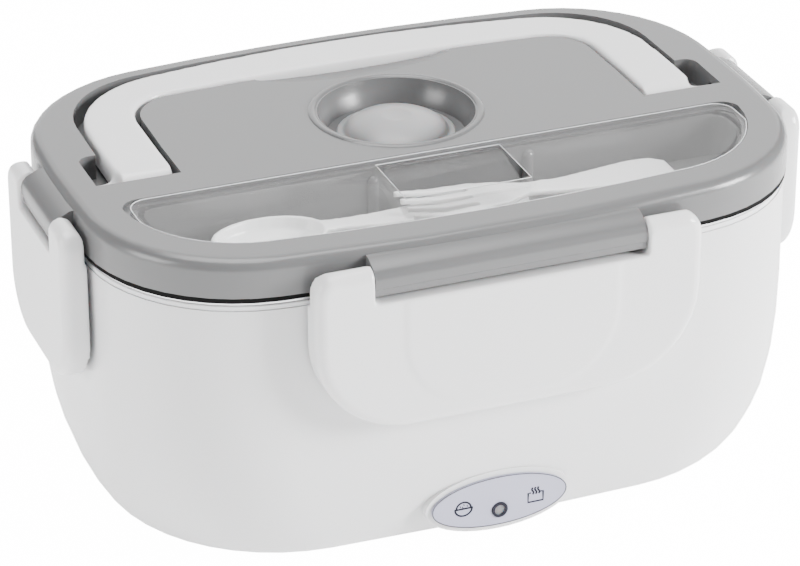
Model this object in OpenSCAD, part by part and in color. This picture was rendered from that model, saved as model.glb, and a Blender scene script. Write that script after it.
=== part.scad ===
// Heated lunch box: a white housing with a steel food tray, and a grey lid that lifts off.
// Four latches clamp the lid, a carrying handle folds flat into it, and a clear cover closes its bay.
// Origin: middle of the footprint, on the surface that the feet stand on.
// X runs along the box, and -Y is the front.

/* [Plan] */
// Length of the lid along X
lid_length = 230; // [226:1:236]
// Depth of the lid along Y
lid_depth = 154; // [152:1:158]
// Radius of the four corners in plan
corner_r = 50; // [48:1:53]
// Bulge of each short side
short_bow = 0.8; // [0.6:0.1:1.2]
// Bulge of each long side
long_bow = 3.4; // [2.6:0.1:4]

/* [Housing] */
// Height of the outer housing
housing_h = 89.4; // [85:0.2:94]
// Wall of the outer housing
housing_wall = 2.4; // [2:0.1:2.8]
// Inset of the housing's top edge from the lid's outline
housing_in = 0.7; // [0.5:0.1:1]
// Inward turn of the housing's wall towards the bottom
housing_turn = 8.3; // [7:0.1:9]
// Growth of the corner radius towards the bottom
corner_swell = 15; // [10:0.5:18]
// Loss of the long sides' bulge towards the bottom
bow_loss = 2.4; // [1:0.1:2.4]
// Inset of the rounded bottom edge
edge_in = 1.5; // [1:0.1:2]
// Height of the rounded bottom edge
edge_h = 5.5; // [4.5:0.1:6]
// Thickness of the base cover
base_t = 2.5; // [2:0.1:3]
// Thickness of the lip that the base cover closes against
lip_t = 2.4; // [2:0.1:3]
// Width of the lip
lip_w = 4; // [3:0.5:5]
// Radius of a rubber foot
foot_r = 7; // [6:0.5:8]
// Height of a rubber foot below the housing
foot_h = 1; // [0.8:0.1:2]
// Radius of a base screw's shank
screw_r = 1.5; // [1.3:0.1:1.8]

/* [Tray and heater] */
// Thickness of the liner's flange and walls
liner_wall = 1.6; // [1.4:0.1:1.8]
// Depth of the liner's tub below the flange
liner_depth = 53.2; // [50:0.2:56]
// Thickness of the tray's rolled rim
rim_t = 1.8; // [1.6:0.1:2.2]
// Wall of the steel tray
tray_wall = 0.8; // [0.6:0.1:1]
// Inset of the tray's wall under the rim
tray_in = 8.6; // [8.4:0.1:9]
// Inward lean of the tray's wall
tray_draft = 4.4; // [3.8:0.2:5]
// Radius between the tray's wall and floor
tray_r = 9; // [8:0.5:10]
// Thickness of the heating plate
plate_t = 2.5; // [2:0.1:2.8]
// Height of the heater block
heater_t = 5.5; // [5:0.5:6.5]
// Distance of the side cup's flat wall from the middle
cup_x = 34; // [30:1:40]
// Wall of the side cup
cup_wall = 1.6; // [1.4:0.1:1.8]

/* [Lid] */
// Height of the lid's side
lid_h = 12; // [11.6:0.1:13]
// Wall of the lid
lid_wall = 2.2; // [2:0.1:2.4]
// Thickness of the lid's top
lid_t = 2.4; // [2.2:0.1:2.6]
// Radius of the lid's top edge
lid_edge = 3.8; // [2.5:0.1:4]
// Gap between the lid and the tray's rim
lid_gap = 1.2; // [1:0.1:1.6]
// Wall of the pockets in the lid
pocket_wall = 1.6; // [1.4:0.1:1.8]
// Depth of the cutlery bay
bay_depth = 17.4; // [17:0.1:17.8]
// Inset of the cutlery bay from the lid's outline
bay_in = 12.5; // [12.3:0.1:13.5]
// Distance of the bay's straight back edge from the middle
bay_back = 20; // [19:0.5:20.5]
// Width of the ledge that carries the clear cover
ledge_w = 1.8; // [1.6:0.1:2.2]
// Thickness of the clear cover
cover_t = 1.6; // [1.4:0.1:1.8]
// Radius of the vent well's mouth
well_r = 25.4; // [24.5:0.1:26]
// Depth of the vent well
well_depth = 8.5; // [8:0.1:8.8]
// Distance of the vent well behind the middle
well_y = 11.2; // [10.5:0.1:12]
// Radius of the vent plug's flange
plug_r = 18.9; // [17:0.1:20]
// Radius of the vent plug's stem
stem_r = 5; // [4:0.1:6]

/* [Handle] */
// Distance of the handle from the lid's ends
handle_in = 17.7; // [17.2:0.1:18.5]
// Distance of the handle from the lid's back edge
handle_back = 6.8; // [6.4:0.1:8]
// Width of the handle's legs and grip
handle_w = 19; // [17:0.5:19.5]
// Thickness of the handle's grip
handle_t = 8.2; // [7.8:0.1:8.4]
// Height of the handle above the lid
handle_rise = 0.6; // [0.2:0.1:1]
// Radius of the handle's round ends
handle_end = 6.1; // [5.8:0.1:6.2]
// Radius of the handle's pivots
pivot_r = 2.4; // [2:0.1:2.8]
// Gap round the handle in its groove
handle_gap = 0.9; // [0.7:0.1:1.1]

/* [Latches] */
// Half length of the front and back hinge bars
long_bar = 43.5; // [40:0.5:46]
// Half length of the side hinge bars
short_bar = 16; // [14:0.5:17]
// Half width of the front and back latches
long_latch = 62; // [60:0.5:64]
// Half width of the side latches
short_latch = 30; // [29:0.5:32]
// Height of a latch
latch_h = 54.2; // [52:0.2:56]
// Thickness of a latch's face
latch_wall = 2.6; // [2.2:0.1:3]
// Distance of the latch pins outside the lid
pin_out = 4; // [3.9:0.1:4.4]
// Distance of the latch pins below the lid's top
pin_drop = 7; // [6.8:0.1:7.2]
// Radius of the latch pins
pin_r = 1.5; // [1.3:0.1:1.6]
// Radius of a latch's hinge ears
ear_r = 3.7; // [3.5:0.1:3.8]
// Half width of the front and back latches' pressing panel
panel_x = 34; // [30:0.5:38]
// Radius of a latch's outer edge
latch_edge = 3; // [1.5:0.1:3.4]

/* [Front and back] */
// Half length of the oval indicator plate
plate_x = 22.4; // [20:0.2:24]
// Half height of the oval indicator plate
plate_z = 8.5; // [7.5:0.1:8.8]
// Width of the white border round the plate
pad_border = 1.8; // [1.4:0.1:2]
// Height of the plate's middle above the housing's bottom
plate_up = 11.3; // [11.2:0.1:12]
// Radius of the indicator lens
lens_r = 1.9; // [1.6:0.1:2.2]
// Half width of the inlet's cavity
inlet_x = 6.6; // [6.4:0.1:7]
// Half height of the inlet's cavity
inlet_z = 3.7; // [3.5:0.1:4]
// Depth of the inlet's cavity
inlet_depth = 11.5; // [10:0.5:13]
// Distance of the inlet's middle below the liner
inlet_down = 12.2; // [12:0.1:13]
// Radius of an inlet pin
inlet_pin_r = 1.2; // [1:0.05:1.3]

/* [Hidden] */

// Clearances
fit_gap = 0.05;
slide_gap = 0.3;
touch_gap = 0.1;
catch_gap = 0.3;
beyond = 1;

// Heights, from the surface upwards
base_z = foot_h;
housing_top = base_z + housing_h;
flange_top = housing_top + liner_wall;
rim_top = flange_top + rim_t;
skirt_z = rim_top + lid_gap;
lid_top = skirt_z + lid_h;
base_top = base_z + base_t;
lip_top = base_top + lip_t;
liner_floor = flange_top - liner_depth;
liner_under = liner_floor - liner_wall;
tray_z = liner_floor + plate_t + slide_gap;
lid_flange_z = skirt_z + 0.2;
lid_flange_top = lid_flange_z + liner_wall;
pocket_under = lid_flange_top + 0.4;
pocket_floor = pocket_under + pocket_wall;
bay_floor = lid_top - bay_depth;
bay_under = bay_floor - pocket_wall;
ledge_z = lid_top - cover_t - 0.2;
well_floor = lid_top - well_depth;
well_under = well_floor - pocket_wall;
lid_liner_floor = bay_under - 0.8;
lid_liner_under = lid_liner_floor - liner_wall;
handle_top = lid_top + handle_rise;
handle_under = handle_top - handle_t;
pivot_z = handle_top - handle_end;
pivot_y = -0.5;
slot_front = pivot_y - handle_end - 0.6;
pin_z = lid_top - pin_drop;
latch_out = pin_out + ear_r;
latch_top = pin_z + ear_r;
latch_z = latch_top - latch_h;
bar_out = pin_out + pin_r + 1.1;
bar_under = skirt_z - 0.8;
notch_z = bar_under - 1.6;
catch_z = latch_z + 22;
catch_t = 3;
ledge_under = catch_z + catch_t + 2;
panel_z = latch_z + 5;
panel_r = 24;
panel_step = 0.4;

// Insets from the lid's outline
base_in = edge_in + 0.8;
heat_in = 35;
liner_in = tray_in - 1;
liner_low_in = liner_in + tray_draft - 0.6;
tray_low_in = tray_in + tray_draft;
cup_in = tray_in + tray_wall + 2.8;
lid_liner_in = tray_in + tray_wall + 1;
bay_low_in = bay_in + ledge_w;

// Places
handle_x = lid_length / 2 - handle_in;
handle_y = lid_depth / 2 - handle_back;
grip_r = 37;
grip_inner_r = 16;
screw_x = lid_length / 2 - 59;
screw_y = lid_depth / 2 - 37;
feet_x = lid_length / 2 - 37;
feet_y = lid_depth / 2 - 41;
foot_sink = 0.8;
head_r = 2.8;
head_t = 1.5;
post_r = 4;
post_bore = 12.5;
window_x = 28;
window_y = 18;
heater_x = 25;
heater_y = 15;
clamp_x = 36;
clamp_half = 42;
clamp_w = 12;
clamp_t = 1.5;
cutout_x = clamp_half + 10;
cutout_r = 8;
cutout_t = 7.8;
scoop_x = 20.5;
scoop_front = 49;
scoop_back = 23.8;
scoop_depth = 6.6;
scoop_wall = 1.4;
bead_r = 1.6;
bead_h = 0.6;
plug_h = 7.2;
stem_h = 4.4;
rib_places = [-20.5, 31];
rib_r = 1.8;
rib_h = 11;
block_w = 7;
block_back = 45.8;
block_front = 56.5;
block_h = 8.4;
plate_mid = base_z + plate_up;
lens_z = plate_mid - 3.2;
pad_face = lid_depth / 2 - 2;
plate_face_t = 0.8;
pad_x = plate_x + pad_border;
pad_z = plate_z + pad_border;
board_x = 13;
board_z = 7;
board_t = 1.2;
board_y = lid_depth / 2 - 18;
peg_r = 1.5;
peg_x = 9;
led_r = 1.4;
led_h = 3.6;
inlet_mid = liner_under - inlet_down;
inlet_pad = lid_depth / 2 - 3.2;
inlet_body = 2;
inlet_flange = 4;
inlet_flange_t = 1.4;
inlet_pitch = 8.6;

CORNER_STEPS = 10;
SHORT_STEPS = 3;
LONG_STEPS = 6;
SHELL_STEPS = 8;
ROUND = 64;

LID = [lid_length / 2, lid_depth / 2, corner_r, short_bow, long_bow];
GRIP = [handle_x, handle_y, grip_r, 0.6, 5];
GRIP_INNER = [handle_x - handle_w, handle_y - handle_w, grip_inner_r, 0.6, 2.2];
GROOVE = [handle_x + handle_gap, handle_y + handle_gap, grip_r - 5, 0.6, 4.5];
ISLAND = [handle_x - handle_w - handle_gap, handle_y - handle_w - handle_gap, grip_inner_r - 1, 0.6, 2.2];

WHITE = [0.93, 0.93, 0.93];
GREY = [0.62, 0.62, 0.63];
STEEL = [0.78, 0.79, 0.8];
DARK = [0.12, 0.12, 0.13];
ALUMINIUM = [0.7, 0.71, 0.73];
FROST = [0.88, 0.89, 0.9];
CLEAR = [0.8, 0.82, 0.84, 0.4];
LAVENDER = [0.66, 0.66, 0.76];
BRASS = [0.75, 0.62, 0.32];

// Points of an arc round c, without and with its last point
function arc(c, r, a0, a1, n) = [for (i = [0 : n - 1]) let (a = a0 + (a1 - a0) * i / n)
    c + r * [cos(a), sin(a)]];
function full_arc(c, r, a0, a1, n) = concat(arc(c, r, a0, a1, n), [c + r * [cos(a1), sin(a1)]]);

// A closed plan of eight tangent arcs, inset by d. Its sizes are
// [half length, half depth, corner radius, short bow, long bow]
function plan(s, d) = let (
    cx = s[0] - s[3] - s[2],
    cy = s[1] - s[4] - s[2],
    rx = (cy * cy + pow(s[0] - cx, 2) - pow(s[2], 2)) / (2 * s[3]),
    ry = (cx * cx + pow(s[1] - cy, 2) - pow(s[2], 2)) / (2 * s[4]),
    ax = atan2(cy, cx - s[0] + rx),
    ay = atan2(cy - s[1] + ry, cx),
    r = s[2] - d)
    concat(
        arc([s[0] - rx, 0], rx - d, -ax, ax, SHORT_STEPS),
        arc([cx, cy], r, ax, ay, CORNER_STEPS),
        arc([0, s[1] - ry], ry - d, ay, 180 - ay, LONG_STEPS),
        arc([-cx, cy], r, 180 - ay, 180 - ax, CORNER_STEPS),
        arc([rx - s[0], 0], rx - d, 180 - ax, 180 + ax, SHORT_STEPS),
        arc([-cx, -cy], r, 180 + ax, 180 + ay, CORNER_STEPS),
        arc([0, ry - s[1]], ry - d, 180 + ay, 360 - ay, LONG_STEPS),
        arc([cx, -cy], r, 360 - ay, 360 - ax, CORNER_STEPS));

// One ring of points at height z
function ring(s, d, z) = [for (p = plan(s, d)) [p[0], p[1], z]];
function oval_face(rx, ry, n) = [for (i = [0 : n - 1]) [rx * cos(360 * i / n), ry * sin(360 * i / n)]];

// Quarter round of a tub's floor, as [inset, height] from the floor up to the wall
function tub_turn(low_in, z, r, wall) =
    [for (t = [90 : -30 : 0]) [low_in + r - (r - wall) * cos(t), z + r - (r - wall) * sin(t)]];

// Skin through a list of equal rings: closed on itself, or capped at both ends
module loft(rings, closed = false) {
    n = len(rings[0]);
    m = len(rings);
    last = closed ? m - 1 : m - 2;
    polyhedron(
        points = [for (r = rings) each r],
        faces = concat(
            [for (j = [0 : last]) for (i = [0 : n - 1]) let (k = (j + 1) % m, h = (i + 1) % n)
                each [[j * n + i, k * n + i, k * n + h], [j * n + i, k * n + h, j * n + h]]],
            closed ? [] : [[for (i = [0 : n - 1]) i], [for (i = [n - 1 : -1 : 0]) (m - 1) * n + i]]),
        convexity = 8);
}

// Loft of a profile given as [inset, height] pairs round the lid's plan
module swept(profile, closed = false) {
    loft([for (q = profile) ring(LID, q[0], q[1])], closed);
}

module prism(s, d, z0, z1) {
    translate([0, 0, z0])
        linear_extrude(z1 - z0)
            polygon(plan(s, d));
}

// Extrusions of a [y, z] outline along X and of an [x, z] outline along Y
module along_x(length) {
    rotate([90, 0, 90])
        linear_extrude(length, center = true)
            children();
}

module along_y(y0, y1) {
    translate([0, y1, 0])
        rotate([90, 0, 0])
            linear_extrude(y1 - y0)
                children();
}

// Turns a front piece to side k: 0 front, 1 right, 2 back, 3 left
module on_side(k) {
    rotate([0, 0, 90 * k])
        children();
}

function reach(k) = k % 2 == 0 ? lid_depth / 2 : lid_length / 2;
function bar_half(k) = k % 2 == 0 ? long_bar : short_bar;

module at_corners(x, y) {
    for (sx = [-1, 1])
        for (sy = [-1, 1])
            translate([sx * x, sy * y, 0])
                children();
}

// Plan of the housing at share u of the way down: it turns in, and its corners grow rounder
function body_in(u) = housing_in + housing_turn * pow(u, 6);
function body_plan(u) = [lid_length / 2 - body_in(u), lid_depth / 2 - body_in(u),
    corner_r - body_in(u) + corner_swell * pow(u, 3.5), short_bow, long_bow - bow_loss * u];
function body_ring(z, d) = ring(body_plan((housing_top - z) / housing_h), d, z);
function body_z(i) = housing_top - (housing_h - edge_h) * sin(90 * i / SHELL_STEPS);

BASE = body_plan(1);

// Wall with a rounded bottom edge, and inside it the rebate and the lip for the base cover
module housing_shell() {
    loft(concat(
        [for (t = [90 : -22.5 : 22.5]) body_ring(base_z + edge_h * (1 - sin(t)), edge_in * (1 - cos(t)))],
        [for (i = [SHELL_STEPS : -1 : 0]) body_ring(body_z(i), 0)],
        [for (i = [0 : SHELL_STEPS - 1]) body_ring(body_z(i), housing_wall)],
        [body_ring(lip_top, housing_wall),
            ring(BASE, base_in + lip_w, lip_top),
            ring(BASE, base_in + lip_w, base_top),
            ring(BASE, base_in - slide_gap, base_top),
            ring(BASE, base_in - slide_gap, base_z)]), closed = true);
}

module oval_pad() {
    along_y(-pad_face, body_in(1) + edge_in - lid_depth / 2)
        translate([0, plate_mid])
            polygon(oval_face(pad_x, pad_z, 40));
}

module inlet_outline(grow) {
    translate([0, inlet_mid])
        square([2 * (inlet_x + grow), 2 * (inlet_z + grow)], center = true);
}

module inlet_boss() {
    along_y(lid_depth / 2 - 11, inlet_pad)
        inlet_outline(inlet_flange + 1);
}

// Ledges that the four latches hook under
module catch_ledges() {
    intersection() {
        difference() {
            prism(LID, catch_gap - 0.9, ledge_under, ledge_under + catch_t);
            prism(LID, housing_in + 1.6, ledge_under - beyond, ledge_under + catch_t + beyond);
        }
        union() {
            for (k = [0 : 3])
                on_side(k)
                    translate([-bar_half(k) / 2, -reach(k) - 10, ledge_under - beyond])
                        cube([bar_half(k), 20, catch_t + 2 * beyond]);
        }
    }
}

module outer_housing() {
    color(WHITE) {
        difference() {
            union() {
                housing_shell();
                oval_pad();
                inlet_boss();
                catch_ledges();
            }
            translate([0, -board_y, lens_z])
                rotate([90, 0, 0])
                    cylinder(r = lens_r + 0.6, h = lid_depth / 2, $fn = ROUND);
            along_y(0, lid_depth)
                inlet_outline(inlet_body + 0.1);
            along_y(inlet_pad, lid_depth)
                inlet_outline(inlet_flange + slide_gap);
            translate([-board_x - 2, -pad_face + 4, lip_top])
                cube([2 * board_x + 4, 4, 2 * board_z]);
        }
        for (x = [-peg_x, peg_x])
            translate([x, -board_y - board_t / 2, plate_mid])
                rotate([90, 0, 0])
                    cylinder(r = peg_r, h = pad_face - board_y - board_t / 2 - 3, $fn = ROUND);
    }
}

module base_cover() {
    color(WHITE)
        difference() {
            prism(BASE, base_in, base_z, base_top);
            at_corners(screw_x, screw_y) {
                translate([0, 0, base_z - beyond])
                    cylinder(r = screw_r + 0.2, h = base_t + 2 * beyond, $fn = ROUND);
                translate([0, 0, base_z - beyond])
                    cylinder(r = head_r + 0.4, h = head_t + touch_gap + beyond, $fn = ROUND);
            }
            at_corners(feet_x, feet_y)
                translate([0, 0, base_z - beyond])
                    cylinder(r = foot_r + 0.2, h = foot_sink + beyond, $fn = ROUND);
            for (i = [-4 : 4])
                translate([i * 7 - 1.5, -11, base_z - beyond])
                    cube([3, 22, base_t + 2 * beyond]);
        }
}

module rubber_feet() {
    h = foot_h + foot_sink;
    color(DARK)
        at_corners(feet_x, feet_y)
            rotate_extrude($fn = ROUND)
                polygon([[0, 0], [foot_r - h / 3, 0], [foot_r, h / 3], [foot_r, h], [0, h]]);
}

module base_screws() {
    color(STEEL)
        at_corners(screw_x, screw_y)
            difference() {
                union() {
                    translate([0, 0, base_z + touch_gap])
                        cylinder(r = head_r, h = head_t, $fn = ROUND);
                    translate([0, 0, base_z + touch_gap + head_t])
                        cylinder(r = screw_r, h = post_bore, $fn = ROUND);
                }
                for (a = [0, 90])
                    rotate([0, 0, a])
                        translate([-1.8, -0.4, base_z])
                            cube([3.6, 0.8, 1]);
            }
}

// Tub that carries the steel tray, with a window for the heater and posts for the base screws
module inner_liner() {
    color(WHITE)
        difference() {
            union() {
                loft([for (q = concat(
                    tub_turn(liner_low_in - liner_wall, liner_under, tray_r, 0),
                    [[liner_in - liner_wall, housing_top], [housing_in + 0.3, housing_top],
                        [housing_in + 0.3, flange_top], [liner_in, flange_top]],
                    [for (i = [3 : -1 : 0]) tub_turn(liner_low_in, liner_floor, tray_r, 0)[i]]))
                    ring(LID, q[0], q[1])]);
                at_corners(screw_x, screw_y)
                    translate([0, 0, base_top])
                        cylinder(r = post_r, h = liner_floor - base_top - 0.4, $fn = ROUND);
                for (x = [-clamp_x, clamp_x])
                    translate([x, 0, liner_floor - heater_t])
                        cylinder(r = post_r, h = heater_t - 0.4, $fn = ROUND);
            }
            translate([-window_x, -window_y, liner_under - beyond])
                cube([2 * window_x, 2 * window_y, liner_wall + 2 * beyond]);
            translate([cutout_x, 0, liner_under - beyond])
                cylinder(r = cutout_r + 0.6, h = liner_wall + 2 * beyond, $fn = ROUND);
            at_corners(screw_x, screw_y)
                translate([0, 0, base_top - beyond])
                    cylinder(r = screw_r + fit_gap, h = post_bore + beyond, $fn = ROUND);
            for (x = [-clamp_x, clamp_x])
                translate([x, 0, liner_floor - heater_t - beyond])
                    cylinder(r = screw_r + fit_gap, h = heater_t, $fn = ROUND);
        }
}

module heating_plate() {
    color(ALUMINIUM)
        translate([0, 0, liner_floor])
            linear_extrude(plate_t)
                polygon(plan(LID, heat_in));
}

module heater_block() {
    color(DARK)
        translate([-heater_x, -heater_y, liner_floor - heater_t])
            cube([2 * heater_x, 2 * heater_y, heater_t]);
    color(STEEL)
        for (x = [-14, 11])
            translate([x, heater_y, liner_floor - heater_t + 1])
                cube([3, 7, 0.8]);
}

module heater_clamp() {
    color(STEEL)
        difference() {
            translate([-clamp_half, -clamp_w / 2, liner_floor - heater_t - clamp_t])
                cube([2 * clamp_half, clamp_w, clamp_t]);
            for (x = [-clamp_x, clamp_x])
                translate([x, 0, liner_floor - heater_t - clamp_t - beyond])
                    cylinder(r = screw_r + 0.2, h = clamp_t + 2 * beyond, $fn = ROUND);
        }
}

module clamp_screws() {
    color(STEEL)
        for (x = [-clamp_x, clamp_x])
            translate([x, 0, liner_floor - heater_t - clamp_t]) {
                translate([0, 0, -head_t])
                    cylinder(r = head_r, h = head_t, $fn = ROUND);
                cylinder(r = screw_r, h = clamp_t + heater_t - 2, $fn = ROUND);
            }
}

module thermal_cutout() {
    color(DARK)
        translate([cutout_x, 0, liner_floor - cutout_t])
            cylinder(r = cutout_r, h = cutout_t, $fn = ROUND);
    color(STEEL)
        for (y = [-1, 1])
            translate([cutout_x - 1.5, y * (cutout_r + 3) - 3, liner_floor - cutout_t + 1])
                cube([3, 6, 0.8]);
}

// Round lead along a list of points, with every section square to the route
function unit(v) = v / norm(v);
function heading(p, i) = unit(p[min(i + 1, len(p) - 1)] - p[max(i - 1, 0)]);
function lead_ring(p, i, r) = let (
    t = heading(p, i),
    u = unit(cross(t, [0.3, 0.2, 0.93])),
    v = cross(t, u))
    [for (k = [0 : 7]) p[i] + r * (cos(45 * k) * u + sin(45 * k) * v)];

module lead(p, r) {
    loft([for (i = [0 : len(p) - 1]) lead_ring(p, i, r)]);
}

function bend(a, b, c, d, n) = [for (i = [0 : n]) let (t = i / n)
    pow(1 - t, 3) * a + 3 * pow(1 - t, 2) * t * b + 3 * (1 - t) * t * t * c + pow(t, 3) * d];

// Route from a to d that leaves both ends straight along Y, with a slack of k
function route(a, d, ka, kd) = concat([a],
    bend(a + [0, ka / 8, 0], a + [0, ka, 0], d + [0, kd, 0], d + [0, kd / 8, 0], 10), [d]);

lead_r = 1;
tab_x = -12.5;
terminal_y = inlet_pad - inlet_depth - 3;
tab_z = liner_floor - heater_t + 1.4;
cut_z = liner_floor - cutout_t + 1.4;

module wiring() {
    color(DARK) {
        lead(route([-inlet_pitch / 2, terminal_y - fit_gap, inlet_mid],
            [tab_x, heater_y + 7 + fit_gap, tab_z], -16, 17), lead_r);
        lead(route([inlet_pitch / 2, terminal_y - fit_gap, inlet_mid],
            [cutout_x, cutout_r + 6 + fit_gap, cut_z], -16, 22), lead_r);
        lead(route([cutout_x, -cutout_r - 6 - fit_gap, cut_z],
            [5, board_t / 2 + fit_gap - board_y, plate_mid], -20, 30), lead_r);
    }
}

module indicator_plate() {
    color(LAVENDER)
        difference() {
            along_y(-pad_face - plate_face_t, -pad_face)
                translate([0, plate_mid])
                    polygon(oval_face(plate_x, plate_z, 48));
            translate([0, 0, lens_z])
                rotate([90, 0, 0])
                    cylinder(r = lens_r + 0.75, h = lid_depth, $fn = ROUND);
        }
}

module indicator_bezel() {
    color(DARK)
        translate([0, -pad_face, lens_z])
            rotate([90, 0, 0])
                difference() {
                    cylinder(r = lens_r + 0.7, h = plate_face_t + 0.3, $fn = ROUND);
                    translate([0, 0, -beyond])
                        cylinder(r = lens_r + fit_gap, h = plate_face_t + 3, $fn = ROUND);
                }
}

module indicator_lens() {
    color(FROST)
        translate([0, -board_y - led_h - 1.4, lens_z])
            rotate([90, 0, 0])
                cylinder(r = lens_r, h = pad_face + plate_face_t - board_y - led_h - 1.4, $fn = ROUND);
}

module indicator_board() {
    color([0.1, 0.35, 0.2])
        translate([-board_x, -board_y - board_t / 2, plate_mid - board_z + 2])
            cube([2 * board_x, board_t, 2 * board_z - 2]);
    color(FROST)
        translate([0, -board_y - board_t / 2, lens_z])
            rotate([90, 0, 0])
                cylinder(r = led_r, h = led_h, $fn = ROUND);
}

module inlet_socket() {
    color(DARK)
        difference() {
            union() {
                along_y(inlet_pad, inlet_pad + inlet_flange_t)
                    inlet_outline(inlet_flange);
                along_y(inlet_pad - inlet_depth - 2, inlet_pad)
                    inlet_outline(inlet_body);
            }
            along_y(inlet_pad + inlet_flange_t - inlet_depth, inlet_pad + 4)
                translate([0, inlet_mid])
                    polygon(concat(
                        full_arc([inlet_x - inlet_z, 0], inlet_z, -90, 90, 12),
                        full_arc([inlet_z - inlet_x, 0], inlet_z, 90, 270, 12)));
            for (x = [-inlet_pitch / 2, inlet_pitch / 2])
                translate([x, inlet_pad, inlet_mid])
                    rotate([90, 0, 0])
                        cylinder(r = inlet_pin_r + fit_gap, h = inlet_depth + 5, $fn = ROUND);
        }
}

module inlet_pins() {
    color(BRASS)
        for (x = [-inlet_pitch / 2, inlet_pitch / 2])
            translate([x, inlet_pad - 1.6, inlet_mid])
                rotate([90, 0, 0])
                    cylinder(r = inlet_pin_r, h = inlet_pad - 1.6 - terminal_y, $fn = ROUND);
}

function tray_profile() = concat(
    tub_turn(tray_low_in, tray_z, tray_r, 0),
    [[tray_in, flange_top], [housing_in + 0.7, flange_top], [housing_in + 0.1, flange_top + rim_t / 3],
        [housing_in + 0.1, rim_top - rim_t / 3], [housing_in + 0.7, rim_top], [tray_in, rim_top],
        [tray_in + tray_wall, rim_top - tray_wall]],
    [for (i = [3 : -1 : 0]) tub_turn(tray_low_in, tray_z, tray_r, tray_wall)[i]]);

module steel_tray() {
    color(STEEL)
        swept(tray_profile());
}

// Side cup: the right end of a smaller tub, with a flat wall across
cup_z = tray_z + tray_wall + slide_gap;
cup_low_in = tray_low_in + tray_wall + 1.2;
cup_top = lid_liner_under - 0.8;

module cup_solid(wall) {
    intersection() {
        swept(concat(tub_turn(cup_low_in, cup_z, tray_r, wall),
            [[cup_in + wall, cup_top + (wall > 0 ? beyond : 0)]]));
        translate([cup_x + wall, -lid_depth, 0])
            cube([lid_length, 2 * lid_depth, 2 * lid_top]);
    }
}

module side_cup() {
    color(WHITE)
        difference() {
            cup_solid(0);
            cup_solid(cup_wall);
        }
}

// Outline of the cutlery bay: the lid's plan inset by d, in front of a straight back edge
module bay_outline(d, back, half_x) {
    intersection() {
        polygon(plan(LID, d));
        polygon(concat(
            [[-half_x, -lid_depth], [half_x, -lid_depth]],
            full_arc([half_x - 6, -back - 6], 6, 0, 90, 6),
            full_arc([6 - half_x, -back - 6], 6, 90, 180, 6)));
    }
}

module bay_prism(d, back, half_x, z0, z1) {
    translate([0, 0, z0])
        linear_extrude(z1 - z0)
            bay_outline(d, back, half_x);
}

bay_x = lid_length / 2 - bay_in - 0.7;
leg_in = handle_x - handle_w;
side_pocket_x = handle_x + 7;
side_pocket_y = 14;

module groove_outline(grow) {
    difference() {
        polygon(plan(GROOVE, -grow));
        polygon(plan(ISLAND, grow));
        translate([-lid_length, slot_front - grow - lid_depth])
            square([2 * lid_length, lid_depth]);
    }
    for (sx = [-1, 1])
        scale([sx, 1])
            polygon(concat(
                [[handle_x - 2, slot_front - grow], [side_pocket_x + grow, slot_front - grow]],
                full_arc([side_pocket_x + grow - 4, side_pocket_y + grow - 4], 4, 0, 90, 5),
                [[handle_x - 2, side_pocket_y + grow]]));
}

module pivot_wells(grow) {
    for (sx = [-1, 1])
        translate([sx * (leg_in + handle_x) / 2 - handle_w / 2 - handle_gap - grow, slot_front - grow,
            pivot_z - handle_end - 0.6 - grow])
            cube([handle_w + 2 * (handle_gap + grow), pivot_y + handle_end + 2 - slot_front + 2 * grow,
                lid_top - lid_t / 2 - pivot_z + handle_end + 0.6 + grow + (grow > 0 ? 0 : 3)]);
}

module hinge_bar(k) {
    on_side(k)
        along_x(2 * bar_half(k))
            polygon([for (q = [
                [-1.6, lid_top - 2.2], [0.6, lid_top - 2.4], [bar_out - 1.8, pin_z + pin_r + 1.1],
                [bar_out - 0.5, pin_z + 1.2], [bar_out, pin_z - 0.4], [bar_out - 0.1, pin_z - 3],
                [bar_out - 0.6, pin_z - 3.4], [bar_out - 0.6, bar_under + 0.4], [bar_out - 1.4, bar_under],
                [0.6, bar_under], [-1.6, skirt_z]])
                [-reach(k) - q[0], q[1]]]);
}

module bay_ribs() {
    for (x = rib_places)
        translate([x, -bay_back - ledge_w, bay_floor - 0.4]) {
            cylinder(r = rib_r, h = rib_h + 0.4, $fn = ROUND);
            translate([0, 0, rib_h + 0.4])
                sphere(r = rib_r, $fn = 32);
        }
}

module bay_blocks() {
    for (x = rib_places)
        translate([x, 0, 0])
            along_x(block_w)
                polygon([[-block_front, bay_floor - 0.4], [-block_back, bay_floor - 0.4],
                    [-block_back - 0.6, bay_floor + block_h], [-block_front + 2, bay_floor + block_h],
                    [-block_front, bay_floor + block_h - 3]]);
}

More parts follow.
